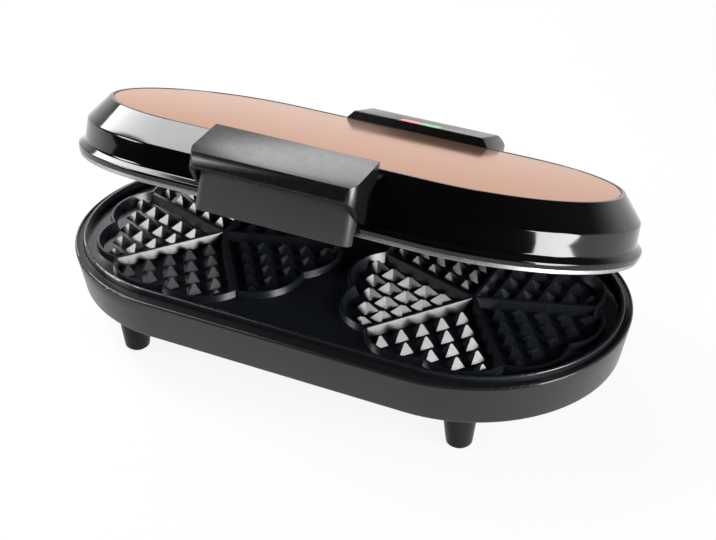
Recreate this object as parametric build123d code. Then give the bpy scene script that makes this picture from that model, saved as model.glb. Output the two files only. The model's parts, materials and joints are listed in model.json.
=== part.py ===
"""Double waffle maker: a standing base with one heart-patterned plate, and a hinged lid with its twin.

Millimetres, +Z up, the feet stand on z = 0. X runs along the length, the handle is at -Y and the
hinge at +Y. The lid is modelled closed and is then turned open about the hinge by the rest angle.
"""
from build123d import *
import math
import os

os.makedirs("parts", exist_ok=True)

# Outline seen from above: a straight middle with round ends
half_straight = 87.2         # half the straight middle, shared by the base, the lid and the top panel
wall = 2.6                   # moulded wall thickness
fit_gap = 0.3                # gap between pieces that are fastened together
slide_gap = 0.5              # gap between the lid and the base

# Base casing
base_bottom_z = 27.0         # underside of the base above the table
base_rim_out = 100.2         # reach of the wall from the middle line at the rim
base_flare = 5.2             # how much less the wall reaches at the bottom
base_rim_z = 55.0            # top of the rim
rim_width = 2.0              # width of the rim's top, its rounded edge included
ledge_drop = 1.3             # step from the rim down to the ledge round the plate
base_edge = 2.2              # rounding of the bottom edge
rim_edge = 1.6               # rounding of the rim's outer edge

# Plates
parting_z = 55.3             # plane in which the two plates meet when the lid is shut
plate_gap = 0.4              # gap between the two plates' rims when shut
rim_above_flat = 4.2         # height of the heart rims above the plate's flat
cavity_depth = 6.6           # depth of the hearts below the rims
plate_wall = 3.4             # thickness of the flat part
cavity_wall = 3.2            # metal left under the hearts
plate_shift = 5.0            # lower plate's straight middle longer than the casing's, at each end
plate_inset = 10.2           # lower plate's border inside the base's rim
border_rise = 2.4            # border of the lower plate above the parting plane
border_wall = 2.2            # thickness of the border
skirt_inset = 1.7            # upper plate's skirt inside the lid's lip
skirt_wall = 1.5             # thickness of the skirt
skirt_raise = 1.0            # lower edge of the skirt above the parting plane
skirt_flange = 1.6           # thickness of the upper plate's edge that carries the skirt
skirt_shoulder = 4.2         # width of that thinner edge

# Rosettes of five hearts
rosette_shift = 2.5          # rosette centres further out than the round ends' centres
hearts = 5
cusp_out = 74.5              # inner rim at the clefts and divider ends, from the rosette centre
lobe_out = 82.0              # inner rim at the top of each lobe
rim_top = 1.3                # width of the rim's top
rim_slope = 0.9              # how far the rim's outer side leans out
wall_slope = 2.4             # how far the cavity wall leans in on its way down
divider_half = 0.8           # half width of a divider's top
divider_drop = 0.8           # divider tops below the rim tops
pyramid_pitch = 14.0         # from pyramid to pyramid along a divider
pyramid_start = 12.0         # first pyramid from the rosette centre, along both dividers
pyramid_side = 9.6           # side of a pyramid's foot
pyramid_tip = 0.8            # side of its blunt tip
pyramid_height = 6.2
pyramid_rows = 5
disc_out = 78.0              # thicker round pad under each rosette

# Lid casing, in closed position
lid_rim_z = 59.0             # lower edge of the lid's lip
lip_inset = 1.3              # lip inside the base's rim
lip_toe = 0.5                # lip's lower edge inside its widest line
lip_z = 62.0                 # where the lip is widest
lip_half = 0.6               # half the height of its widest part
waist_z = 65.4               # top of the lip's hollow
waist_inset = 3.6            # upright band inside the lip
crease_z = 79.2              # crease between the upright band and the sloping band
crease_inset = 3.7           # crease inside the lip
lid_top_z = 94.6             # top edge round the panel
panel_inset = 18.7           # top panel inside the lip
panel_edge = 2.0             # width of the black edge round the panel
panel_thickness = 0.8
panel_sink = 0.2             # panel's top below the edge round it
panel_gap = 0.6              # groove round the panel

# Hinge
hinge_y = 118.7
hinge_z = 54.4
rest_angle = 20.0            # opening of the lid as it stands in rest
pin_radius = 2.0
pin_clearance = 0.05         # radial play of the pin in the lid's cheek
pin_fit = 0.02               # radial play of the pin in the base's lug
lug_radius = 4.9
lug_inner_x = 39.4           # inner side of each lug from the block's middle
lug_width = 8.6
cheek_gap = 0.5
cheek_width = 3.4
cheek_skin = 0.9             # closed outer skin of the cheek over the pin's end
lug_foot_z = 38.0            # where the lug's arm leaves the rear wall, lower side
lug_root_z = 52.6            # and upper side

# Rear block that covers the hinge
block_x = 4.0                # block's middle, a little right of the lid's
block_front_y = 80.0
block_lean = 1.8             # how far the front leans back from the panel up
block_back_y = 114.0
block_top_z = 100.2
block_low_z = 90.0           # from here the rear wall slopes out to the hinge
block_tail_z = 62.0          # lower edge of the rear wall between the cheeks
block_corner = 3.0           # rounding of the rear corners
block_back_edge = 5.0        # rounding of the top's rear edge
block_bevel_width = 4.9      # bevel at both ends of the block's top
block_bevel_height = 5.8

# Indicator windows
lens_width = 14.4
lens_depth = 10.0
lens_height = 1.0
lens_play = 0.1
plug_half = 4.5              # stub of each window through the block's wall
plug_front = 4.4
plug_back = 8.0
lamp_radius = 2.2
lamp_length = 10.0
lamp_drop = 5.4              # lamp's middle below the block's top
board_height = 9.0
board_thickness = 1.6

# Handle
visor_half = 53.5            # half width of the sloping cover
visor_back_y = -87.5
visor_back_z = 99.4
visor_front_y = -117.0
visor_front_z = 86.2
visor_lip = 8.0              # height of the front lip
visor_corner = 8.0           # rounding of the front corners
visor_side_z = 63.0          # where the side walls run out on the lid
grip_front_y = -108.0
grip_low_z = 51.2            # lower end of the grip, beside the base
grip_corner = 5.0
grip_play = 0.5              # gap between the grip and the cover round it

# Feet
foot_shift = 26.6            # feet further out than the round ends' centres
foot_y = 73.5
foot_top_radius = 11.0
foot_low_radius = 7.8
foot_edge = 2.0
pad_radius = 5.6
pad_height = 3.0
pad_proud = 1.0              # rubber pad below the foot

# Heating element and what carries it
element_radius = 3.3
element_loop = 45.0          # element's middle line from the rosettes' middle line
element_open = 14.0          # half the opening between its two ends
element_bend = 9.0           # bend of each end towards the rear
element_end_y = 60.0         # end of its sheath
terminal_radius = 1.5
terminal_length = 8.0
clamp_width = 12.0
clamp_thickness = 1.2
clamp_reach = 9.5            # clamp screws to each side of the element
post_radius = 3.6
reflector_out = 72.0
reflector_sheet = 0.5
reflector_edge = 4.0         # upturned edge
reflector_drop = 4.2         # reflector below the element's clamps
fixing_shift = 47.8          # end fixings further out than the round ends' centres
fixing_end_y = 48.0
fixing_mid_y = 58.0
boss_radius = 5.0

# Screws
shank_radius = 1.5
shank_play = 0.15
head_radius = 3.6
head_height = 2.2
head_play = 0.4
bite = 7.0                   # length of thread in the piece that a screw holds
recess_width = 0.8           # cross recess in a screw's head
recess_depth = 1.0

# Control parts
thermostat_radius = 8.0
thermostat_height = 6.0
thermostat_flange = 24.0
tab_x = 4.0                  # terminal tabs to each side of its middle
tab_half = 1.0
tab_height = 3.0
fuse_radius = 2.2
fuse_length = 14.0
block_length = 26.0
block_width = 13.0
block_height = 16.0
wire_radius = 1.2
wire_bend = 2.4
wire_x = 9.0                 # wires along the middle, to each side
inner_run_y = 71.5           # wires across, in front of the terminal block
outer_run_y = 75.4
fuse_y = 20.0
gland_x = 66.0
gland_z = 40.0
gland_bore = 3.5
gland_body = 5.8
gland_flange = 8.0
gland_flange_height = 2.5
gland_seat_radius = 10.0
vent_width = 3.0
vent_length = 34.0
vent_count = 5
vent_pitch = 9.0

# Worked out from the sizes above
base_bottom_out = base_rim_out - base_flare
base_lean = base_flare / (base_rim_z - base_bottom_z)
plate_straight = half_straight + plate_shift
plate_out = base_rim_out - plate_inset
rosette_x = half_straight + rosette_shift
foot_x = half_straight + foot_shift
fixing_end_x = half_straight + fixing_shift
lip_out = base_rim_out - lip_inset
waist_out = lip_out - waist_inset
crease_out = lip_out - crease_inset
panel_out = lip_out - panel_inset
skirt_out = lip_out - skirt_inset
skirt_low_z = parting_z + skirt_raise
lower_rim_z = parting_z - plate_gap / 2
upper_rim_z = parting_z + plate_gap / 2
ledge_z = base_rim_z - ledge_drop
casing_inner = base_bottom_out - wall
floor_top_z = base_bottom_z + wall
lug_outer_x = lug_inner_x + lug_width
cheek_inner_x = lug_outer_x + cheek_gap
block_half = cheek_inner_x + cheek_width
block_edge_y = block_front_y + block_lean
block_tail_y = hinge_y + lug_radius
shelf_top_z = lid_top_z - panel_sink - panel_thickness
panel_top_z = lid_top_z - panel_sink
disc_bottom = cavity_depth + cavity_wall
slab_bottom = rim_above_flat + plate_wall
element_level = disc_bottom + element_radius
element_bottom = disc_bottom + 2 * element_radius
reflector_level = element_bottom + clamp_thickness + reflector_drop
fixing_points = [(x * fixing_end_x, y * fixing_end_y) for x in (-1, 1) for y in (-1, 1)]
fixing_points += [(0, -fixing_mid_y), (0, fixing_mid_y)]
clamp_points = [(x * rosette_x, y * element_loop) for x in (-1, 1) for y in (-1, 1)]
foot_points = {
    "front_left": (-foot_x, -foot_y),
    "front_right": (foot_x, -foot_y),
    "rear_left": (-foot_x, foot_y),
    "rear_right": (foot_x, foot_y),
}
near = 0.01                  # two points closer than this are the same corner


def section(*corners):
    """Closed outline from corners (out, up) or (out, up, rounding)."""
    face = make_face(Polyline(*[(corner[0], corner[1]) for corner in corners], close=True))
    for corner in corners:
        if len(corner) == 3:
            place = Vector(corner[0], corner[1])
            picked = [v for v in face.vertices() if (v.center() - place).length < near]
            face = fillet(picked, corner[2])
    return face


def round_ended(face, straight=half_straight):
    """Solid with the same section all round the outline; the section's sides are out and up."""
    end = revolve(Plane.XZ * face, Axis.Z, 180)
    right = Pos(straight, 0, 0) * Rot(0, 0, -90) * end
    left = Pos(-straight, 0, 0) * Rot(0, 0, 90) * end
    back = Pos(-straight, 0, 0) * extrude(Plane.YZ * face, 2 * straight)
    front = mirror(back, about=Plane.XZ)
    return right + left + back + front


def slab(out, low, high, straight=half_straight):
    """Flat round-ended plate."""
    return round_ended(section((0, low), (out, low), (out, high), (0, high)), straight)


def across(points, half_width):
    """Solid from an outline in (y, z), as wide as half_width to both sides of the middle."""
    face = make_face(Polyline(*points, close=True))
    return Pos(-half_width, 0, 0) * extrude(Plane.YZ * face, 2 * half_width)


def block(x0, x1, y0, y1, z0, z1):
    """Box between two corners."""
    middle = Pos((x0 + x1) / 2, (y0 + y1) / 2, (z0 + z1) / 2)
    return middle * Box(x1 - x0, y1 - y0, z1 - z0)


def rod(radius, start, end):
    """Round bar from one point to another."""
    line = Vector(*end) - Vector(*start)
    return extrude(Plane(Vector(*start), z_dir=line) * Circle(radius), line.length)


def screw(place, pointing, length):
    """Cross-headed screw: place is the seat under the head, pointing is the way the thread goes."""
    seat = Plane(Vector(*place), z_dir=Vector(*pointing))
    shank = extrude(seat * Circle(shank_radius), length)
    head = extrude(seat * Circle(head_radius), -head_height)
    top = seat.offset(-head_height)
    slots = Rectangle(head_radius, recess_width) + Rectangle(recess_width, head_radius)
    return shank + head - extrude(top * slots, recess_depth)


def screw_hole(place, pointing, length):
    """Clearance hole for a screw's thread, from its seat on."""
    seat = Plane(Vector(*place), z_dir=Vector(*pointing))
    return extrude(seat * Circle(shank_radius + shank_play), length)


def opened(shape):
    """Turns a piece of the shut lid into its rest place."""
    return shape.rotate(Axis((0, hinge_y, hinge_z), (-1, 0, 0)), rest_angle)


def write(node, shape):
    """Writes one sub-part."""
    export_step(shape, f"parts/{node}.step")


# Waffle pattern, with the rims' tops at z = 0 and the hearts open towards +Z

half_heart = math.pi / hearts
half_lobe = half_heart / 2
lobe_centre = (lobe_out**2 - cusp_out**2) / (2 * (lobe_out - cusp_out * math.cos(half_lobe)))
lobe_radius = lobe_out - lobe_centre


def polar(distance, angle):
    """Point at a distance and an angle, in radians, from the rosette's centre."""
    return (distance * math.cos(angle), distance * math.sin(angle))


def cusp_at(inset):
    """Distance of the lobes' meeting points when the outline is drawn in by inset."""
    reach = lobe_radius - inset
    side = lobe_centre * math.sin(half_lobe)
    return lobe_centre * math.cos(half_lobe) + math.sqrt(reach**2 - side**2)


def lobed_face(inset, height):
    """Outline of all lobes of a rosette."""
    cusp = cusp_at(inset)
    first = math.pi / 2
    arcs = []
    for lobe in range(2 * hearts):
        angle = first + lobe * half_heart
        start = polar(cusp, angle)
        middle = polar(lobe_out - inset, angle + half_lobe)
        end = polar(cusp, angle + half_heart)
        arcs.append(ThreePointArc(start, middle, end))
    return Pos(0, 0, height) * make_face(arcs)


def heart_face(inset, height):
    """Outline of one heart's cavity, pointing along +X, drawn in by inset."""
    beside = divider_half + inset
    reach = lobe_radius - inset
    along = lobe_centre * math.cos(half_lobe)
    off = lobe_centre * math.sin(half_lobe)
    length = along + math.sqrt(reach**2 - (beside - off) ** 2)
    centre = (beside / math.sin(half_heart), 0)
    cleft = (cusp_at(inset), 0)
    corner_x = length * math.cos(half_heart) + beside * math.sin(half_heart)
    corner_y = length * math.sin(half_heart) - beside * math.cos(half_heart)
    top_x, top_y = polar(lobe_out - inset, half_lobe)
    edges = [
        Line(centre, (corner_x, corner_y)),
        ThreePointArc((corner_x, corner_y), (top_x, top_y), cleft),
        ThreePointArc(cleft, (top_x, -top_y), (corner_x, -corner_y)),
        Line((corner_x, -corner_y), centre),
    ]
    return Pos(0, 0, height) * make_face(edges)


def rhombus(side, height):
    """Pyramid outline with its sides along the two dividers."""
    one = Vector(*polar(side / 2, half_heart))
    two = Vector(*polar(side / 2, -half_heart))
    corners = [one + two, one - two, (one + two) * -1, two - one]
    return Pos(0, 0, height) * make_face(Polyline(*corners, close=True))


def heart_cutter():
    """Space of one heart with its pyramids left standing."""
    space = loft([heart_face(wall_slope, -cavity_depth), heart_face(0, 0)], ruled=True)
    root = rhombus(pyramid_side, -cavity_depth)
    tip = rhombus(pyramid_tip, pyramid_height - cavity_depth)
    pyramid = loft([root, tip], ruled=True)
    pyramids = []
    for row in range(pyramid_rows):
        for column in range(pyramid_rows - row):
            one = polar(pyramid_start + row * pyramid_pitch, half_heart)
            two = polar(pyramid_start + column * pyramid_pitch, -half_heart)
            pyramids.append(Pos(one[0] + two[0], one[1] + two[1], 0) * pyramid)
    return space - pyramids


def waffle_rims():
    """Raised rims of both rosettes and the pads under them, still filled."""
    foot = lobed_face(-rim_top - rim_slope, -rim_above_flat)
    top = lobed_face(-rim_top, 0)
    rim = loft([foot, top], ruled=True)
    pad = Pos(0, 0, -disc_bottom) * extrude(Circle(disc_out), disc_bottom - rim_above_flat)
    rosette = rim + pad
    return [Pos(side * rosette_x, 0, 0) * rosette for side in (-1, 1)]


def waffle_cutters():
    """Spaces of all hearts, and the strip over the dividers."""
    heart = heart_cutter()
    slope = wall_slope / cavity_depth
    low = lobed_face(slope * divider_drop, -divider_drop)
    strip = loft([low, lobed_face(0, 0)], ruled=True)
    cutters = []
    for side in (-1, 1):
        centre = Pos(side * rosette_x, 0, 0)
        cutters.append(centre * strip)
        for count in range(hearts):
            turn = 90 + 180 / hearts + count * 360 / hearts
            cutters.append(centre * Rot(0, 0, turn) * heart)
    return cutters


def element_posts():
    """Threaded posts beside the element for its clamps, and the plate's own fixing posts."""
    posts = []
    for x, y in clamp_points:
        for side in (-1, 1):
            place = y + side * clamp_reach
            posts.append(rod(post_radius, (x, place, -disc_bottom + 1), (x, place, -element_bottom)))
    for x, y in fixing_points:
        posts.append(rod(post_radius, (x, y, -slab_bottom + 1), (x, y, -reflector_level)))
    return posts


def post_holes():
    """Thread holes in the posts."""
    holes = []
    for x, y in clamp_points:
        for side in (-1, 1):
            seat = (x, y + side * clamp_reach, -element_bottom)
            holes.append(screw_hole(seat, (0, 0, 1), bite + shank_play))
    for x, y in fixing_points:
        holes.append(screw_hole((x, y, -reflector_level), (0, 0, 1), bite + shank_play))
    return holes


def plate(body):
    """Adds the waffle pattern and the posts to a plate's plain body."""
    whole = body + waffle_rims() + element_posts()
    return whole - waffle_cutters() - post_holes()


def lower_plate_body():
    """Flat with an upright border that reaches over the rims."""
    top = parting_z + border_rise - lower_rim_z
    inner = plate_out - border_wall
    low = -slab_bottom
    flat = -rim_above_flat
    outline = section(
        (0, low), (plate_out, low), (plate_out, top, 0.9), (inner, top, 0.9), (inner, flat), (0, flat)
    )
    return round_ended(outline, plate_straight)


def upper_plate_body():
    """Flat with a skirt that reaches down round the lower plate; drawn looking up like the lower one."""
    top = upper_rim_z - skirt_low_z
    inner = skirt_out - skirt_wall
    shoulder = skirt_out - skirt_shoulder
    low = -slab_bottom
    flat = -rim_above_flat
    edge = flat - skirt_flange
    outline = section(
        (0, low),
        (shoulder, low),
        (shoulder, edge),
        (skirt_out, edge),
        (skirt_out, top, 0.5),
        (inner, top),
        (inner, flat),
        (0, flat),
    )
    return round_ended(outline)


def element():
    """Tubular heating element: one loop under both rosettes with a terminal at each end."""
    turn_y = element_loop + element_bend
    turn_x = element_open + element_bend
    middle = element_bend * (1 - math.sqrt(0.5))
    path = Line((-element_open, element_end_y), (-element_open, turn_y))
    path += ThreePointArc(
        (-element_open, turn_y), (-element_open - middle, element_loop + middle), (-turn_x, element_loop)
    )
    path += Line((-turn_x, element_loop), (-rosette_x, element_loop))
    path += ThreePointArc(
        (-rosette_x, element_loop), (-rosette_x - element_loop, 0), (-rosette_x, -element_loop)
    )
    path += Line((-rosette_x, -element_loop), (rosette_x, -element_loop))
    path += ThreePointArc(
        (rosette_x, -element_loop), (rosette_x + element_loop, 0), (rosette_x, element_loop)
    )
    path += Line((rosette_x, element_loop), (turn_x, element_loop))
    path += ThreePointArc(
        (turn_x, element_loop), (element_open + middle, element_loop + middle), (element_open, turn_y)
    )
    path += Line((element_open, turn_y), (element_open, element_end_y))
    start = Plane((-element_open, element_end_y, 0), z_dir=(0, -1, 0))
    tube = sweep(start * Circle(element_radius), path=path)
    for side in (-1, 1):
        x = side * element_open
        tube += rod(terminal_radius, (x, element_end_y - 1, 0), (x, element_end_y + terminal_length, 0))
    return Pos(0, 0, -element_level) * tube


def clamps():
    """Flat bars that hold the element to its plate."""
    low = -element_bottom - clamp_thickness
    reach = clamp_reach + post_radius
    bars = []
    for x, y in clamp_points:
        half = clamp_width / 2
        bar = block(x - half, x + half, y - reach, y + reach, low, -element_bottom)
        for side in (-1, 1):
            bar -= screw_hole((x, y + side * clamp_reach, low), (0, 0, 1), clamp_thickness)
        bars.append(bar)
    return Compound(bars)


def clamp_screws():
    """Screws through the clamps into the plate's posts."""
    low = -element_bottom - clamp_thickness
    seats = [(x, y + side * clamp_reach, low) for x, y in clamp_points for side in (-1, 1)]
    return Compound([screw(seat, (0, 0, 1), clamp_thickness + bite) for seat in seats])


def reflector():
    """Thin tray below the element that keeps the heat off the casing."""
    top = -reflector_level
    low = top - reflector_sheet
    edge = top + reflector_edge
    inner = reflector_out - reflector_sheet
    outline = section(
        (0, low), (reflector_out, low), (reflector_out, edge), (inner, edge), (inner, top), (0, top)
    )
    tray = round_ended(outline)
    for x, y in fixing_points:
        tray -= screw_hole((x, y, low), (0, 0, 1), reflector_sheet)
    return tray


def at_lower(shape):
    """Puts a piece that was drawn from the rims' tops into the base."""
    return Pos(0, 0, lower_rim_z) * shape


def at_upper(shape):
    """Puts a piece that was drawn from the rims' tops into the shut lid, upside down, and opens it."""
    flipped = mirror(shape, about=Plane.XY)
    return opened(Pos(0, 0, upper_rim_z) * flipped)


# Base casing with its ledge, bosses, hinge lugs, gland seat and vents

lower_boss_z = lower_rim_z - reflector_level - reflector_sheet
lower_seat_z = floor_top_z + 1


def base_shell():
    """Moulded tub with an inward ledge round the plate."""
    inner_rim = base_rim_out - rim_width
    outline = section(
        (0, base_bottom_z),
        (base_bottom_out, base_bottom_z, base_edge),
        (base_rim_out, base_rim_z, rim_edge),
        (inner_rim, base_rim_z),
        (inner_rim, ledge_z),
        (0, ledge_z),
    )
    under_ledge_z = ledge_z - wall
    upper_inner = casing_inner + base_lean * (under_ledge_z - base_bottom_z)
    hollow = section(
        (0, floor_top_z), (casing_inner, floor_top_z), (upper_inner, under_ledge_z), (0, under_ledge_z)
    )
    mouth = slab(plate_out + slide_gap, under_ledge_z, base_rim_z, plate_straight)
    return round_ended(outline) - round_ended(hollow) - mouth


def wall_middle(height):
    """Reach of the middle of the base's leaning wall at a height."""
    return base_bottom_out - wall / 2 + base_lean * (height - base_bottom_z)


def hinge_rod(side, radius, end_x):
    """Round bar on the hinge line, from a lug's inner side out to end_x."""
    start = (block_x + side * lug_inner_x, hinge_y, hinge_z)
    return rod(radius, start, (block_x + side * end_x, hinge_y, hinge_z))


def hinge_lug(side):
    """Arm on the rear wall that carries one hinge pin behind the lid."""
    outline = make_face(
        Polyline(
            (wall_middle(lug_foot_z), lug_foot_z),
            (wall_middle(lug_root_z), lug_root_z),
            (hinge_y, hinge_z + lug_radius),
            (hinge_y + lug_radius, hinge_z),
            close=True,
        )
    )
    outline += Pos(hinge_y, hinge_z) * Circle(lug_radius)
    start = block_x + (lug_inner_x if side > 0 else -lug_outer_x)
    solid = Pos(start, 0, 0) * extrude(Plane.YZ * outline, lug_width)
    return solid - hinge_rod(side, pin_radius + pin_fit, lug_outer_x)


def gland_seat():
    """Flat-faced boss on the rear wall for the cord gland."""
    front = (gland_x, base_bottom_out - wall, gland_z)
    return rod(gland_seat_radius, front, (gland_x, base_rim_out, gland_z))


def lower_casing():
    """Whole base casing."""
    casing = base_shell()
    casing += [rod(boss_radius, (x, y, floor_top_z), (x, y, lower_boss_z)) for x, y in fixing_points]
    casing += gland_seat()
    inside = (gland_x, casing_inner - wall, gland_z)
    casing -= rod(gland_body + fit_gap, inside, (gland_x, base_rim_out, gland_z))
    for x, y in fixing_points:
        casing -= rod(head_radius + head_play, (x, y, base_bottom_z), (x, y, lower_seat_z))
        casing -= screw_hole((x, y, lower_seat_z), (0, 0, 1), lower_boss_z - lower_seat_z)
    for x, y in foot_points.values():
        casing -= screw_hole((x, y, base_bottom_z), (0, 0, 1), wall)
    casing += [hinge_lug(side) for side in (-1, 1)]
    for side in (-1, 1):
        for count in range(vent_count):
            low_x = side * rosette_x - vent_length / 2
            low_y = (count - (vent_count - 1) / 2) * vent_pitch - vent_width / 2
            casing -= block(
                low_x, low_x + vent_length, low_y, low_y + vent_width, base_bottom_z, floor_top_z
            )
    return casing


def lower_plate_screws():
    """Screws from below through the base and the reflector into the plate's posts."""
    length = lower_boss_z + reflector_sheet - lower_seat_z + bite
    return Compound([screw((x, y, lower_seat_z), (0, 0, 1), length) for x, y in fixing_points])


# Feet

def foot(x, y):
    """Tapered foot with a round pocket for its pad."""
    outline = section(
        (0, pad_proud),
        (foot_low_radius, pad_proud, foot_edge),
        (foot_top_radius, base_bottom_z),
        (0, base_bottom_z),
    )
    solid = revolve(Plane.XZ * outline, Axis.Z, 360)
    solid -= extrude(Circle(pad_radius), pad_height)
    solid -= screw_hole((0, 0, base_bottom_z), (0, 0, -1), bite + wall)
    return Pos(x, y, 0) * solid


def foot_pads():
    """Soft rubber pads that the base stands on."""
    pad = extrude(Circle(pad_radius), pad_height)
    return Compound([Pos(x, y, 0) * pad for x, y in foot_points.values()])


def foot_screws():
    """Screws from inside the base down into the feet."""
    seats = [(x, y, floor_top_z) for x, y in foot_points.values()]
    return Compound([screw(seat, (0, 0, -1), wall + bite) for seat in seats])


# Control parts

terminal_z = floor_top_z + block_height
terminal_y = casing_inner - fit_gap - block_width
terminal_start = gland_x - block_length - gland_flange
terminal_step = block_length / 3
wire_hole_drop = terminal_z - lower_rim_z + element_level
thermostat_low = slab_bottom + thermostat_height
tab_level = thermostat_low + tab_height / 2


def thermostat():
    """Disc thermostat with its flange against the plate's underside."""
    half = thermostat_radius / 2
    reach = thermostat_flange / 2
    solid = block(-half, half, -reach, reach, -slab_bottom - clamp_thickness, -slab_bottom)
    solid += rod(thermostat_radius, (0, 0, -slab_bottom), (0, 0, -thermostat_low))
    for side in (-1, 1):
        x = side * tab_x
        low = -thermostat_low - tab_height
        solid += block(x - tab_half, x + tab_half, -tab_height, tab_height, low, -thermostat_low)
    return solid


def thermal_fuse():
    """Fuse in line with the wire to the thermostat."""
    level = -element_level
    return rod(fuse_radius, (wire_x, fuse_y, level), (wire_x, fuse_y + fuse_length, level))


def wire(*points):
    """Insulated wire along straight runs with rounded corners."""
    path = FilletPolyline(*points, radius=wire_bend)
    start = Plane(path @ 0, z_dir=path % 0)
    return sweep(start * Circle(wire_radius), path=path)


def wires():
    """Wires between the element's ends, the thermostat, the fuse and the terminal block."""
    level = -element_level
    pin_y = element_end_y + terminal_length
    tab_end = tab_x + tab_half
    hole_one = terminal_start + terminal_step / 2
    hole_two = hole_one + terminal_step
    left = wire(
        (-element_open, pin_y, level),
        (-element_open, outer_run_y, level),
        (-wire_x, outer_run_y, level),
        (-wire_x, 0, -tab_level),
        (-tab_end, 0, -tab_level),
    )
    right = wire(
        (element_open, pin_y, level),
        (element_open, inner_run_y, level),
        (hole_two, inner_run_y, level),
        (hole_two, terminal_y, level),
    )
    from_tab = wire(
        (tab_end, 0, -tab_level),
        (wire_x, 0, -tab_level),
        (wire_x, fuse_y - 2 * wire_bend, level),
        (wire_x, fuse_y, level),
    )
    to_block = wire(
        (wire_x, fuse_y + fuse_length, level),
        (wire_x, outer_run_y, level),
        (hole_one, outer_run_y, level),
        (hole_one, terminal_y, level),
    )
    return Compound([left, right, from_tab, to_block])


def terminal_block():
    """Screw terminal block on the base's floor beside the gland."""
    end = terminal_start + block_length
    body = block(terminal_start, end, terminal_y, terminal_y + block_width, floor_top_z, terminal_z)
    middle_y = terminal_y + block_width / 2
    level = terminal_z - wire_hole_drop
    for count in range(3):
        x = terminal_start + terminal_step * (count + 0.5)
        body -= rod(terminal_step / 4, (x, middle_y, terminal_z - 2), (x, middle_y, terminal_z))
        body -= rod(wire_radius, (x, terminal_y, level), (x, terminal_y + block_width / 3, level))
    return body


def cord_gland():
    """Bush in the rear wall that a mains cord passes through."""
    outer_y = base_rim_out
    inner_y = casing_inner - wall
    bush = rod(gland_body, (gland_x, inner_y, gland_z), (gland_x, outer_y, gland_z))
    bush += rod(gland_flange, (gland_x, outer_y, gland_z), (gland_x, outer_y + gland_flange_height, gland_z))
    bush -= rod(gland_bore, (gland_x, inner_y, gland_z), (gland_x, outer_y + gland_flange_height, gland_z))
    return bush


def hinge_pin(side):
    """Steel pin from the base's lug into the lid's cheek."""
    return hinge_rod(side, pin_radius, cheek_inner_x + cheek_width - cheek_skin - pin_clearance)


# Lid casing and what covers it

def lid_envelope(grow):
    """Outer form of the lid, grown on all sides."""
    top_out = panel_out + panel_gap + panel_edge
    outline = section(
        (0, lid_rim_z - grow),
        (lip_out + grow - lip_toe, lid_rim_z - grow),
        (lip_out + grow, lip_z - lip_half, 0.8),
        (lip_out + grow, lip_z + lip_half, 0.8),
        (waist_out + grow, waist_z, 2.4),
        (crease_out + grow, crease_z, 2.0),
        (top_out + grow, lid_top_z + grow, 1.3),
        (0, lid_top_z + grow),
    )
    return round_ended(outline)


def upper_casing():
    """Lid shell: shelf for the panel on top, open below for the plate."""
    panel_pocket = slab(panel_out + panel_gap, shelf_top_z, lid_top_z)
    low_out = skirt_out + fit_gap / 2
    top_in = panel_out + panel_gap - wall
    shelf_low_z = shelf_top_z - wall
    flange_top_z = upper_rim_z + rim_above_flat + skirt_flange
    inner = section(
        (0, lid_rim_z),
        (low_out, lid_rim_z),
        (low_out, flange_top_z + fit_gap),
        (waist_out - wall, waist_z + fit_gap),
        (waist_out - wall, crease_z - wall / 2),
        (top_in, shelf_low_z),
        (0, shelf_low_z),
    )
    casing = lid_envelope(0) - round_ended(inner) - panel_pocket
    boss_low = upper_rim_z + reflector_level + reflector_sheet
    for x, y in fixing_points:
        casing += rod(boss_radius, (x, y, boss_low), (x, y, shelf_low_z + 0.5))
        casing -= rod(head_radius + head_play, (x, y, shelf_top_z), (x, y, shelf_top_z - head_height - 0.4))
        casing -= screw_hole((x, y, boss_low), (0, 0, 1), shelf_top_z - boss_low)
    for seat in side_screw_seats():
        casing -= screw_hole(seat[0], seat[1], 2 * wall)
    return casing


def upper_plate_screws():
    """Screws from under the top panel down into the upper plate's posts."""
    seat_z = shelf_top_z - head_height - 0.4
    length = seat_z - (upper_rim_z + reflector_level) + bite
    return Compound([screw((x, y, seat_z), (0, 0, -1), length) for x, y in fixing_points])


def top_panel():
    """Thin metal panel let into the lid's top."""
    outline = section(
        (0, shelf_top_z), (panel_out, shelf_top_z), (panel_out, panel_top_z, 0.4), (0, panel_top_z)
    )
    return round_ended(outline)


side_screw_z = (waist_z + crease_z) / 2
side_screw_inner = waist_out - wall
handle_screw_x = 34.0
cover_screw_x = 26.0


def side_screw_seats():
    """Seats and directions of the screws that hold the handle and the rear block to the lid."""
    front = [((side * handle_screw_x, -side_screw_inner, side_screw_z), (0, -1, 0)) for side in (-1, 1)]
    rear_x = [block_x + side * cover_screw_x for side in (-1, 1)]
    rear = [((x, side_screw_inner, side_screw_z), (0, 1, 0)) for x in rear_x]
    return front + rear


visor_slope = (visor_back_z - visor_front_z) / (visor_back_y - visor_front_y)
visor_low_z = visor_front_z - visor_lip


def front_rounded(half_width, front_y, corner):
    """Plan outline of the handle with round front corners."""
    return section(
        (-half_width, 0), (-half_width, front_y, corner), (half_width, front_y, corner), (half_width, 0)
    )


def under_visor(gap):
    """Space below the sloping cover, drawn in by a gap."""
    inset = wall + gap
    drop = inset * math.sqrt(1 + visor_slope**2)
    back_z = visor_back_z - drop
    front_y = visor_front_y + inset
    front_z = back_z + (front_y - visor_back_y) * visor_slope
    low = grip_low_z - wall
    back_y = visor_back_y + inset
    points = [(back_y, low), (back_y, back_z), (front_y, front_z), (front_y, low)]
    space = across(points, visor_half - inset)
    corner = visor_corner - wall
    return space & extrude(front_rounded(visor_half - inset, front_y, corner), visor_back_z)


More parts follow.
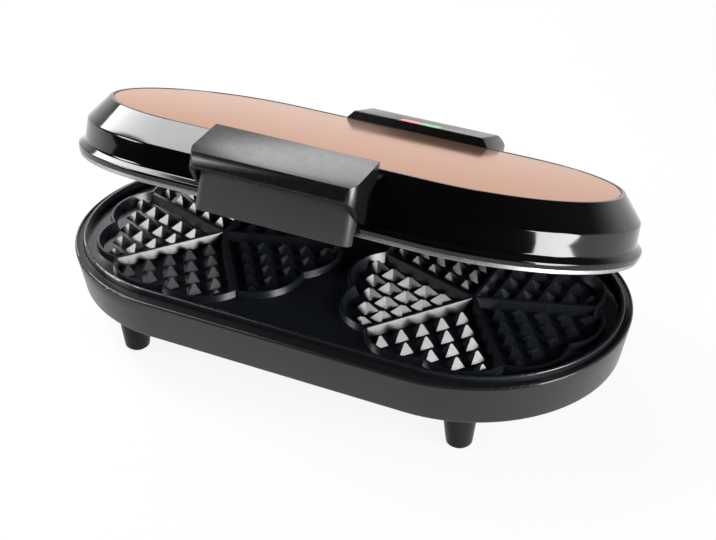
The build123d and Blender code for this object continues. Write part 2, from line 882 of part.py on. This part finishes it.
def handle_cover():
    """Sloping hood that reaches over the lid's edge and out past it."""
    lean = visor_lip * 0.2
    form = across(
        [
            (visor_back_y, visor_side_z),
            (visor_back_y, visor_back_z),
            (visor_front_y, visor_front_z),
            (visor_front_y - lean, visor_low_z),
            (visor_front_y + 4.5, visor_low_z - 3.7),
            (visor_front_y + 12.0, visor_low_z - 10.7),
            (-waist_out - lean, visor_side_z),
        ],
        visor_half,
    )
    form &= extrude(front_rounded(visor_half, visor_front_y - lean, visor_corner), visor_back_z)
    return form - under_visor(0) - lid_envelope(fit_gap / 2)


def handle_grip():
    """Upright panel below the cover, closed at the bottom, with two screw bosses inside."""
    half = visor_half - wall - grip_play
    inner_half = half - wall
    inner_front = grip_front_y + wall
    outer = front_rounded(half, grip_front_y, grip_corner)
    inner = front_rounded(inner_half, inner_front, grip_corner - wall)
    tall = visor_back_z - grip_low_z
    form = Pos(0, 0, grip_low_z) * extrude(outer, tall)
    form -= Pos(0, 0, grip_low_z + wall) * extrude(inner, tall)
    form &= under_visor(grip_play)
    form -= [lid_envelope(fit_gap / 2), slab(base_rim_out + slide_gap, 0, lid_rim_z)]
    for side in (-1, 1):
        start = (side * handle_screw_x, -waist_out, side_screw_z)
        boss = rod(post_radius, start, (side * handle_screw_x, inner_front - 0.5, side_screw_z))
        form += boss - lid_envelope(fit_gap / 2)
        form -= screw_hole(start, (0, -1, 0), bite)
    return form


def side_screws(which):
    """Two screws from inside the lid, for the handle or for the rear block."""
    seats = side_screw_seats()[:2] if which == "handle" else side_screw_seats()[2:]
    return Compound([screw(place, way, wall + bite - 1) for place, way in seats])


def block_side():
    """Side view of the rear block, from its front edge over the top and down to the hinge."""
    outline = section(
        (block_front_y, lid_top_z - wall),
        (block_front_y, lid_top_z - panel_sink),
        (block_edge_y, block_top_z, rim_edge / 2),
        (block_back_y, block_top_z, block_back_edge),
        (block_back_y, block_low_z),
        (block_tail_y, block_tail_z),
        (block_tail_y, hinge_z),
        (hinge_y - lug_radius, hinge_z),
        (lip_out + fit_gap, lid_rim_z),
    )
    return outline + Pos(hinge_y, hinge_z) * Circle(lug_radius)


def block_space():
    """Space inside the rear block, open below and round the base's lugs."""
    inner_front = block_edge_y + wall
    inner_back = block_back_y - wall
    inner_top = block_top_z - wall
    points = [
        (inner_front, 0),
        (inner_front, inner_top),
        (inner_back, inner_top),
        (inner_back, block_low_z),
        (block_tail_y - wall, block_tail_z),
        (block_back_y + block_tail_y, block_tail_z),
        (block_back_y + block_tail_y, 0),
    ]
    under_bevel_z = block_top_z - block_bevel_height - wall
    ends = block(-block_half, block_half, 0, block_tail_y, under_bevel_z, block_top_z)
    middle = across(points, block_half - block_bevel_width - wall)
    return across(points, cheek_inner_x) - ends + middle


def block_form():
    """Rear block still solid, with its ends bevelled and its rear corners rounded."""
    form = Pos(-block_half, 0, 0) * extrude(Plane.YZ * block_side(), 2 * block_half)
    plan = section(
        (-block_half, 0),
        (-block_half, block_tail_y, block_corner),
        (block_half, block_tail_y, block_corner),
        (block_half, 0),
    )
    form &= extrude(plan, block_top_z)
    bevel_z = block_top_z - block_bevel_height
    bevel_x = block_half - block_bevel_width
    front_view = section(
        (-block_half, 0),
        (-block_half, bevel_z, block_corner),
        (-bevel_x, block_top_z, block_corner),
        (bevel_x, block_top_z, block_corner),
        (block_half, bevel_z, block_corner),
        (block_half, 0),
    )
    return form & Pos(0, block_tail_y, 0) * extrude(Plane.XZ * front_view, block_tail_y)


def hinge_cover():
    """Rear block: hood behind the panel with two cheeks that turn on the hinge pins."""
    form = Pos(block_x, 0, 0) * (block_form() - block_space())
    rear_lean = (block_tail_y - block_back_y) / (block_low_z - block_tail_z)
    boss_end = block_back_y + rear_lean * (block_low_z - side_screw_z) - wall / 2 - fit_gap
    for place, way in side_screw_seats()[2:]:
        form += rod(post_radius, (place[0], waist_out, place[2]), (place[0], boss_end, place[2]))
    for side in (-1, 1):
        form -= hinge_rod(side, pin_radius + pin_clearance, cheek_inner_x + cheek_width - cheek_skin)
    form -= lid_envelope(fit_gap / 2)
    for place, way in side_screw_seats()[2:]:
        form -= screw_hole(place, way, wall + bite)
    for side in (-1, 1):
        form -= lens(side, lens_play)
    return form


def lens(side, grow):
    """Indicator window let into the front edge of the rear block's top, grown by its play."""
    near_x = block_x + side * lens_play
    low, high = sorted((near_x - side * grow / 2, near_x + side * (lens_width + grow)))
    back_y = block_edge_y + lens_depth + grow
    pane = block(low, high, block_edge_y, back_y, block_top_z - lens_height - grow, block_top_z)
    middle = block_x + side * lens_width / 2
    half = plug_half + grow
    low_y = block_edge_y + plug_front - grow
    high_y = block_edge_y + plug_back + grow
    low_z = block_top_z - wall
    return pane + block(middle - half, middle + half, low_y, high_y, low_z, block_top_z - lens_height)


def indicator_lamps():
    """Two small lamps lying below the windows."""
    y = block_edge_y + (plug_front + plug_back) / 2
    z = block_top_z - lamp_drop
    lamps = []
    for side in (-1, 1):
        middle = block_x + side * lens_width / 2
        lamps.append(rod(lamp_radius, (middle - lamp_length / 2, y, z), (middle + lamp_length / 2, y, z)))
    return Compound(lamps)


def lamp_board():
    """Upright strip behind the lamps, hanging from the block's top."""
    front = block_edge_y + plug_back + lamp_radius
    top = block_top_z - wall
    low, high = block_x - lens_width, block_x + lens_width
    return block(low, high, front, front + board_thickness, top - board_height, top)


def main():
    """Builds and writes every sub-part."""
    write("lower_casing", lower_casing())
    for name, (x, y) in foot_points.items():
        write(f"foot_{name}", foot(x, y))
    write("foot_pads", foot_pads())
    write("foot_screws", foot_screws())
    write("lower_plate", at_lower(plate(lower_plate_body())))
    write("lower_heating_element", at_lower(element()))
    write("lower_element_clamps", at_lower(clamps()))
    write("lower_clamp_screws", at_lower(clamp_screws()))
    write("lower_reflector", at_lower(reflector()))
    write("lower_plate_screws", lower_plate_screws())
    write("lower_thermostat", at_lower(thermostat()))
    write("thermal_fuse", at_lower(thermal_fuse()))
    write("wires", at_lower(wires()))
    write("terminal_block", terminal_block())
    write("cord_gland", cord_gland())
    write("hinge_pin_left", hinge_pin(-1))
    write("hinge_pin_right", hinge_pin(1))
    write("upper_casing", opened(upper_casing()))
    write("copper_top_panel", opened(top_panel()))
    write("handle_cover", opened(handle_cover()))
    write("handle_grip", opened(handle_grip()))
    write("handle_screws", opened(side_screws("handle")))
    write("hinge_cover", opened(hinge_cover()))
    write("hinge_cover_screws", opened(side_screws("cover")))
    write("red_lens", opened(lens(-1, 0)))
    write("green_lens", opened(lens(1, 0)))
    write("indicator_lamps", opened(indicator_lamps()))
    write("lamp_board", opened(lamp_board()))
    write("upper_plate", at_upper(plate(upper_plate_body())))
    write("upper_heating_element", at_upper(element()))
    write("upper_element_clamps", at_upper(clamps()))
    write("upper_clamp_screws", at_upper(clamp_screws()))
    write("upper_reflector", at_upper(reflector()))
    write("upper_thermostat", at_upper(thermostat()))
    write("upper_plate_screws", opened(upper_plate_screws()))


main()
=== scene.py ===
"""Finish, light and camera of the double waffle maker. Metres, +Z up, the handle is at -Y."""

import json
import math

import bpy
from mathutils import Matrix, Vector


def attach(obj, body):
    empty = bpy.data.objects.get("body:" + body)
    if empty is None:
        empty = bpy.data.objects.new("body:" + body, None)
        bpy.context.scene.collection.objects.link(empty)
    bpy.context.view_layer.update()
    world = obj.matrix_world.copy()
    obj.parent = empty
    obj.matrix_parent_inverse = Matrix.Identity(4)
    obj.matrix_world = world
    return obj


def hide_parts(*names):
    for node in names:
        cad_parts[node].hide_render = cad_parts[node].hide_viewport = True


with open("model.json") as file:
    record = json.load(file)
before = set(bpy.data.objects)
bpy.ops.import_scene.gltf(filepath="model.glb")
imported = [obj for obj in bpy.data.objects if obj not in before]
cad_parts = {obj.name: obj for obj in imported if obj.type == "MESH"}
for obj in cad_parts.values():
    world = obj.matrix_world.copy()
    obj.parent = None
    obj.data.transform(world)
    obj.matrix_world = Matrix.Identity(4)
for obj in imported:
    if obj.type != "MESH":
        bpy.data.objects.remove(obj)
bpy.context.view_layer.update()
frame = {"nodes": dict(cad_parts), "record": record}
node_objects = frame["nodes"]
body_of = {node: body for body, nodes in frame["record"]["behaviour"]["bodies"].items() for node in nodes}

# Camera, worked out from the rosettes, the outlines and the feet
PHOTO_WIDTH = 716
SENSOR_WIDTH = 36.0
FOCAL_PIXELS = 1561.28
CAMERA_AZIMUTH = math.radians(26.81)
CAMERA_ELEVATION = math.radians(31.45)
CAMERA_DISTANCE = 1.00952
CAMERA_TARGET = Vector((0.00472, 0.00926, 0.045))

# The lid's hinge line, its turn at rest, and the reach of the upper plate's skirt
HINGE = Vector((0, 0.1187, 0.0544))
REST_ANGLE = math.radians(20.0)
HALF_STRAIGHT = 0.0872
SKIRT_OUT = 0.0972
SKIRT_SLACK = 0.0003

# Edges and curved faces of the finish copies
WELD_DISTANCE = 0.000002
FLAT_ANGLE = math.radians(0.2)
EDGE_SEGMENTS = 3
HANDLE_EDGE = 0.0014
GRIP_EDGE = 0.0006
BLOCK_EDGE = 0.0005
SMOOTH_ANGLE = 30
PLATE_SMOOTH_ANGLE = 25

# Room and floor
ROOM_FRONT = 0.02
ROOM_BACK = 0.95
ROOM_OVERHEAD = 0.06
FLOOR_SIZE = 6.0
FLOOR_TONE = 0.86
FLOOR_GLOW = 0.9


def place_camera():
    """Camera at the photograph's viewing angle."""
    flat = math.cos(CAMERA_ELEVATION)
    towards = Vector(
        (
            math.sin(CAMERA_AZIMUTH) * flat,
            -math.cos(CAMERA_AZIMUTH) * flat,
            math.sin(CAMERA_ELEVATION),
        )
    )
    data = bpy.data.cameras.new("photo_camera")
    data.sensor_width = SENSOR_WIDTH
    data.lens = FOCAL_PIXELS * SENSOR_WIDTH / PHOTO_WIDTH
    data.clip_start = 0.01
    camera = bpy.data.objects.new("photo_camera", data)
    camera.location = CAMERA_TARGET + towards * CAMERA_DISTANCE
    camera.rotation_euler = (-towards).to_track_quat("-Z", "Y").to_euler()
    bpy.context.scene.collection.objects.link(camera)
    bpy.context.scene.camera = camera


def add_softbox(name, place, aim, width, height, power, along=(0, 0, 1)):
    """Soft rectangular lamp at a place, turned to a point, its height along a direction."""
    data = bpy.data.lights.new(name, "AREA")
    data.shape = "RECTANGLE"
    data.size = width
    data.size_y = height
    data.energy = power
    lamp = bpy.data.objects.new(name, data)
    back = (Vector(place) - Vector(aim)).normalized()
    side = Vector(along).cross(back).normalized()
    up = back.cross(side)
    turn = Matrix((side, up, back)).transposed()
    lamp.matrix_world = Matrix.Translation(Vector(place)) @ turn.to_4x4()
    lamp.visible_camera = False
    bpy.context.scene.collection.objects.link(lamp)


def add_ramp(tree, start, start_tone, end, end_tone):
    """Eased ramp between two grey tones."""
    ramp = tree.nodes.new("ShaderNodeValToRGB")
    ramp.color_ramp.interpolation = "EASE"
    for element, position, tone in zip(ramp.color_ramp.elements, (start, end), (start_tone, end_tone)):
        element.position = position
        element.color = (tone, tone, tone, 1)
    return ramp


def mix_by(tree, factor, one, two, target):
    """Joins two shaders by a factor into an output."""
    pick = tree.nodes.new("ShaderNodeMixShader")
    tree.links.new(factor, pick.inputs[0])
    tree.links.new(one.outputs[0], pick.inputs[1])
    tree.links.new(two.outputs[0], pick.inputs[2])
    tree.links.new(pick.outputs[0], target.inputs[0])


def light_world():
    """White surroundings where they are seen, and a soft plain light on the object."""
    world = bpy.data.worlds.new("studio")
    bpy.context.scene.world = world
    world.use_nodes = True
    tree = world.node_tree
    tree.nodes.clear()
    output = tree.nodes.new("ShaderNodeOutputWorld")
    shown = tree.nodes.new("ShaderNodeBackground")
    shown.inputs["Color"].default_value = (1, 1, 1, 1)
    shown.inputs["Strength"].default_value = 1.0
    room = tree.nodes.new("ShaderNodeBackground")
    # The room is bright low down and behind the object, and dim in front and overhead
    coordinates = tree.nodes.new("ShaderNodeTexCoord")
    split = tree.nodes.new("ShaderNodeSeparateXYZ")
    tree.links.new(coordinates.outputs["Generated"], split.inputs[0])
    depth = add_ramp(tree, 0.35, ROOM_FRONT, 0.85, ROOM_BACK)
    shift = tree.nodes.new("ShaderNodeMath")
    shift.operation = "MULTIPLY_ADD"
    shift.inputs[1].default_value = 0.5
    shift.inputs[2].default_value = 0.5
    tree.links.new(split.outputs["Y"], shift.inputs[0])
    tree.links.new(shift.outputs[0], depth.inputs[0])
    height = add_ramp(tree, 0.0, 1, 0.45, ROOM_OVERHEAD)
    tree.links.new(split.outputs["Z"], height.inputs[0])
    blend = tree.nodes.new("ShaderNodeMix")
    blend.data_type = "RGBA"
    blend.blend_type = "MULTIPLY"
    blend.inputs["Factor"].default_value = 1.0
    tree.links.new(depth.outputs[0], blend.inputs["A"])
    tree.links.new(height.outputs[0], blend.inputs["B"])
    tree.links.new(blend.outputs["Result"], room.inputs["Color"])
    room.inputs["Strength"].default_value = 1.0
    ray = tree.nodes.new("ShaderNodeLightPath")
    mix_by(tree, ray.outputs["Is Camera Ray"], room, shown, output)


def lay_floor():
    """Pale floor that shows white and keeps a faint shadow."""
    bpy.ops.object.select_all(action="DESELECT")
    bpy.ops.mesh.primitive_plane_add(size=FLOOR_SIZE, location=(0, 0, 0))
    floor = bpy.context.object
    floor.name = "studio_floor"
    paint = bpy.data.materials.new("floor_paint")
    paint.use_nodes = True
    tree = paint.node_tree
    tree.nodes.clear()
    output = tree.nodes.new("ShaderNodeOutputMaterial")
    matt = tree.nodes.new("ShaderNodeBsdfDiffuse")
    matt.inputs["Color"].default_value = (FLOOR_TONE, FLOOR_TONE, FLOOR_TONE, 1)
    glow = tree.nodes.new("ShaderNodeEmission")
    glow.inputs["Color"].default_value = (1, 1, 1, 1)
    glow.inputs["Strength"].default_value = 1.0
    ray = tree.nodes.new("ShaderNodeLightPath")
    either = tree.nodes.new("ShaderNodeMath")
    either.operation = "MAXIMUM"
    tree.links.new(ray.outputs["Is Camera Ray"], either.inputs[0])
    tree.links.new(ray.outputs["Is Glossy Ray"], either.inputs[1])
    share = tree.nodes.new("ShaderNodeMath")
    share.operation = "MULTIPLY"
    share.inputs[1].default_value = FLOOR_GLOW
    tree.links.new(either.outputs[0], share.inputs[0])
    mix_by(tree, share.outputs[0], matt, glow, output)
    floor.data.materials.append(paint)


def new_paint(name, colour, roughness, metallic=0.0, specular=0.5):
    """Material with one shader, and its tree, its shader and its Object coordinates."""
    paint = bpy.data.materials.new(name)
    paint.use_nodes = True
    tree = paint.node_tree
    shader = tree.nodes["Principled BSDF"]
    shader.inputs["Base Color"].default_value = (*colour, 1)
    shader.inputs["Roughness"].default_value = roughness
    shader.inputs["Metallic"].default_value = metallic
    shader.inputs["Specular IOR Level"].default_value = specular
    coordinates = tree.nodes.new("ShaderNodeTexCoord")
    return paint, tree, shader, coordinates.outputs["Object"]


def add_noise(tree, place, scale, detail=3.0, rough=0.5, stretch=None):
    """Pattern of a scale in cycles per metre, stretched along an axis if asked."""
    source = place
    if stretch:
        turn = tree.nodes.new("ShaderNodeMapping")
        turn.inputs["Scale"].default_value = stretch
        tree.links.new(place, turn.inputs["Vector"])
        source = turn.outputs["Vector"]
    noise = tree.nodes.new("ShaderNodeTexNoise")
    noise.inputs["Scale"].default_value = scale
    noise.inputs["Detail"].default_value = detail
    noise.inputs["Roughness"].default_value = rough
    tree.links.new(source, noise.inputs["Vector"])
    return noise.outputs["Fac"]


def vary(tree, factor, low, high, target):
    """Drives a number socket between two values by a pattern."""
    span = tree.nodes.new("ShaderNodeMapRange")
    span.inputs["From Min"].default_value = 0.3
    span.inputs["From Max"].default_value = 0.7
    span.inputs["To Min"].default_value = low
    span.inputs["To Max"].default_value = high
    tree.links.new(factor, span.inputs["Value"])
    tree.links.new(span.outputs["Result"], target)


def tint(tree, factor, one, two, target):
    """Drives a colour socket between two colours by a pattern."""
    mix = tree.nodes.new("ShaderNodeMix")
    mix.data_type = "RGBA"
    mix.inputs["A"].default_value = (*one, 1)
    mix.inputs["B"].default_value = (*two, 1)
    tree.links.new(factor, mix.inputs["Factor"])
    tree.links.new(mix.outputs["Result"], target)


def emboss(tree, factor, strength, depth, shader):
    """Adds a bump of a real depth in metres."""
    bump = tree.nodes.new("ShaderNodeBump")
    bump.inputs["Strength"].default_value = strength
    bump.inputs["Distance"].default_value = depth
    tree.links.new(factor, bump.inputs["Height"])
    tree.links.new(bump.outputs["Normal"], shader.inputs["Normal"])


def lid_black():
    """Polished black moulding with a trace of moulding waves and fine haze."""
    paint, tree, shader, place = new_paint("lid_black", (0.0015, 0.0015, 0.0016), 0.09)
    vary(tree, add_noise(tree, place, 60, 3), 0.07, 0.11, shader.inputs["Roughness"])
    tint(tree, add_noise(tree, place, 25, 2), (0.0008, 0.0008, 0.0009), (0.0020, 0.0020, 0.0022),
         shader.inputs["Base Color"])
    emboss(tree, add_noise(tree, place, 70, 1), 0.04, 0.0002, shader)
    return paint


def cover_black(name, low, high, roughness):
    """Satin black moulding between two tones, with a fine even grain."""
    paint, tree, shader, place = new_paint(name, high, roughness)
    vary(tree, add_noise(tree, place, 160, 3), roughness - 0.02, roughness + 0.02,
         shader.inputs["Roughness"])
    tint(tree, add_noise(tree, place, 40, 3), low, high, shader.inputs["Base Color"])
    emboss(tree, add_noise(tree, place, 1200, 2), 0.015, 0.00001, shader)
    return paint


def base_black(name, specular):
    """Satin warm black moulding of the base and its feet."""
    paint, tree, shader, place = new_paint(name, (0.022, 0.019, 0.0175), 0.26, specular=specular)
    vary(tree, add_noise(tree, place, 140, 3), 0.27, 0.33, shader.inputs["Roughness"])
    tint(tree, add_noise(tree, place, 25, 3), (0.0115, 0.0105, 0.0110), (0.0160, 0.0148, 0.0153),
         shader.inputs["Base Color"])
    emboss(tree, add_noise(tree, place, 1200, 2), 0.015, 0.00001, shader)
    return paint


def copper_satin():
    """Copper-coloured panel: fine satin grain along its length and faint colour clouds."""
    paint, tree, shader, place = new_paint("copper_satin", (0.70, 0.41, 0.29), 0.12, 0.82)
    shader.inputs["Specular Tint"].default_value = (0.82, 0.66, 0.58, 1)
    vary(tree, add_noise(tree, place, 300, 3, stretch=(0.12, 1, 1)), 0.10, 0.15, shader.inputs["Roughness"])
    tint(tree, add_noise(tree, place, 14, 3), (0.69, 0.38, 0.25), (0.71, 0.43, 0.32),
         shader.inputs["Base Color"])
    emboss(tree, add_noise(tree, place, 2200, 1, stretch=(0.08, 1, 1)), 0.02, 0.00001, shader)
    return paint


def plate_coat():
    """Dark blue-black non-stick coat over cast metal, with a fine even grain."""
    paint, tree, shader, place = new_paint("plate_coat", (0.01, 0.012, 0.016), 0.27, specular=0.75)
    vary(tree, add_noise(tree, place, 2600, 2, 0.5), 0.26, 0.30, shader.inputs["Roughness"])
    tint(tree, add_noise(tree, place, 1900, 2, 0.5), (0.006, 0.0075, 0.011), (0.011, 0.0135, 0.019),
         shader.inputs["Base Color"])
    emboss(tree, add_noise(tree, place, 1100, 2, 0.5), 0.02, 0.00001, shader)
    return paint


def bright_metal(name, colour, roughness):
    """Bare metal with drawn or ground marks."""
    paint, tree, shader, place = new_paint(name, colour, roughness, metallic=1.0)
    vary(tree, add_noise(tree, place, 700, 4), roughness - 0.08, roughness + 0.1, shader.inputs["Roughness"])
    low = tuple(0.8 * part for part in colour)
    tint(tree, add_noise(tree, place, 90, 4), low, colour, shader.inputs["Base Color"])
    emboss(tree, add_noise(tree, place, 2400, 2), 0.1, 0.00004, shader)
    return paint


def plain_moulding(name, colour, roughness):
    """Matt plastic, rubber or ceramic with a fine grain and slight colour change."""
    paint, tree, shader, place = new_paint(name, colour, roughness)
    vary(tree, add_noise(tree, place, 500, 3), roughness - 0.08, roughness + 0.08,
         shader.inputs["Roughness"])
    low = tuple(0.82 * part for part in colour)
    tint(tree, add_noise(tree, place, 120, 3), low, colour, shader.inputs["Base Color"])
    emboss(tree, add_noise(tree, place, 2200, 3), 0.15, 0.00008, shader)
    return paint


def window_plastic(name, colour):
    """Translucent tinted window with a faint glow of its own colour."""
    paint, tree, shader, place = new_paint(name, colour, 0.14)
    low = tuple(0.7 * part for part in colour)
    tint(tree, add_noise(tree, place, 300, 2), low, colour, shader.inputs["Base Color"])
    vary(tree, add_noise(tree, place, 900, 2), 0.08, 0.2, shader.inputs["Roughness"])
    shader.inputs["Subsurface Weight"].default_value = 0.3
    shader.inputs["Subsurface Scale"].default_value = 0.002
    shader.inputs["Emission Color"].default_value = (*colour, 1)
    shader.inputs["Emission Strength"].default_value = 0.25
    return paint


def dress(node, paint):
    """Gives a node its finish in place."""
    piece = node_objects[node]
    piece.data.materials.clear()
    piece.data.materials.append(paint)


def finish_copy(node, paint, edge=0.0, smooth=SMOOTH_ANGLE):
    """Copy of a node with its edges rounded and its curved faces smooth, which stands for the node."""
    source = node_objects[node]
    bpy.ops.object.select_all(action="DESELECT")
    source.select_set(True)
    bpy.context.view_layer.objects.active = source
    bpy.ops.object.duplicate()
    piece = bpy.context.object
    piece.name = node + "_finish"
    for key in list(piece.keys()):
        del piece[key]
    if piece.data.has_custom_normals:
        bpy.ops.mesh.customdata_custom_splitnormals_clear()
    bpy.ops.object.mode_set(mode="EDIT")
    bpy.ops.mesh.select_all(action="SELECT")
    bpy.ops.mesh.remove_doubles(threshold=WELD_DISTANCE)
    if edge:
        bpy.ops.mesh.dissolve_limited(angle_limit=FLAT_ANGLE)
    bpy.ops.object.mode_set(mode="OBJECT")
    if edge:
        rounding = piece.modifiers.new("edges", "BEVEL")
        rounding.width = edge
        rounding.segments = EDGE_SEGMENTS
        rounding.limit_method = "ANGLE"
        rounding.angle_limit = math.radians(smooth)
        bpy.ops.object.modifier_apply(modifier=rounding.name)
    bpy.ops.object.shade_smooth_by_angle(angle=math.radians(smooth))
    piece.data.materials.clear()
    piece.data.materials.append(paint)
    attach(piece, body_of[node])
    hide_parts(node)
    return piece


def reach_in_lid(point):
    """Reach of a point from the lid's middle line, as if the lid were shut."""
    offset = point - HINGE
    y = HINGE.y + offset.y * math.cos(REST_ANGLE) - offset.z * math.sin(REST_ANGLE)
    return math.hypot(max(abs(point.x) - HALF_STRAIGHT, 0), y)


bpy.context.scene.view_settings.view_transform = "Standard"
place_camera()
light_world()
lay_floor()

add_softbox("right_side", (0.92, -0.24, 0.25), (0, 0, 0.08), 0.5, 0.5, 14)
add_softbox("left_front", (-0.91, -0.48, 0.45), (-0.1, 0, 0.06), 0.4, 0.34, 6.5)
add_softbox("left_long", (-0.80, 0.16, 0.78), (-0.10, 0, 0.13), 0.34, 1.0, 12, (0.54, -0.52, 0.67))
add_softbox("behind_left_high", (-0.50, 0.95, 0.98), (0, -0.1, 0.14), 0.7, 0.6, 7.5)

lid_paint = lid_black()
handle_paint = cover_black("handle_black", (0.004, 0.004, 0.0042), (0.007, 0.007, 0.0072), 0.27)
grip_paint = cover_black("grip_grey", (0.026, 0.024, 0.025), (0.034, 0.031, 0.033), 0.45)
block_paint = cover_black("block_black", (0.002, 0.002, 0.0022), (0.004, 0.004, 0.0042), 0.2)
base_paint = base_black("base_black", 0.42)
foot_paint = base_black("foot_black", 0.12)
coat = plate_coat()
copper = copper_satin()
screw_metal = bright_metal("zinc_steel", (0.62, 0.62, 0.62), 0.32)
sheet_metal = bright_metal("sheet_steel", (0.7, 0.7, 0.7), 0.28)
sheath_metal = bright_metal("element_sheath", (0.3, 0.29, 0.27), 0.42)
bare_edge = bright_metal("bare_casting", (0.42, 0.42, 0.43), 0.4)
pad_rubber = plain_moulding("pad_rubber", (0.02, 0.02, 0.02), 0.7)

finish_copy("upper_casing", lid_paint)
finish_copy("copper_top_panel", copper)
finish_copy("handle_cover", handle_paint, HANDLE_EDGE)
finish_copy("handle_grip", grip_paint, GRIP_EDGE)
finish_copy("hinge_cover", block_paint, BLOCK_EDGE)
finish_copy("lower_casing", base_paint)
for node in ("foot_front_left", "foot_front_right", "foot_rear_left", "foot_rear_right"):
    finish_copy(node, foot_paint)
finish_copy("lower_plate", coat, smooth=PLATE_SMOOTH_ANGLE)
upper = finish_copy("upper_plate", coat, smooth=PLATE_SMOOTH_ANGLE)
upper.data.materials.append(bare_edge)
for face in upper.data.polygons:
    if reach_in_lid(face.center) > SKIRT_OUT - SKIRT_SLACK:
        face.material_index = 1
for node in ("foot_pads", "cord_gland"):
    dress(node, pad_rubber)
for place in ("foot", "lower_clamp", "upper_clamp", "lower_plate", "upper_plate", "handle", "hinge_cover"):
    dress(place + "_screws", screw_metal)
for node in ("hinge_pin_left", "hinge_pin_right"):
    dress(node, screw_metal)
for half in ("lower", "upper"):
    for part in ("reflector", "element_clamps", "thermostat"):
        dress(half + "_" + part, sheet_metal)
for node in ("lower_heating_element", "upper_heating_element"):
    dress(node, sheath_metal)
dress("thermal_fuse", plain_moulding("fuse_ceramic", (0.8, 0.78, 0.7), 0.5))
dress("wires", plain_moulding("wire_sleeve", (0.75, 0.72, 0.6), 0.6))
dress("terminal_block", plain_moulding("terminal_plastic", (0.78, 0.78, 0.74), 0.45))
dress("lamp_board", plain_moulding("lamp_board_brown", (0.32, 0.22, 0.09), 0.55))
dress("indicator_lamps", plain_moulding("lamp_glass", (0.8, 0.72, 0.6), 0.15))
dress("red_lens", window_plastic("red_window", (0.75, 0.05, 0.02)))
dress("green_lens", window_plastic("green_window", (0.06, 0.42, 0.08)))
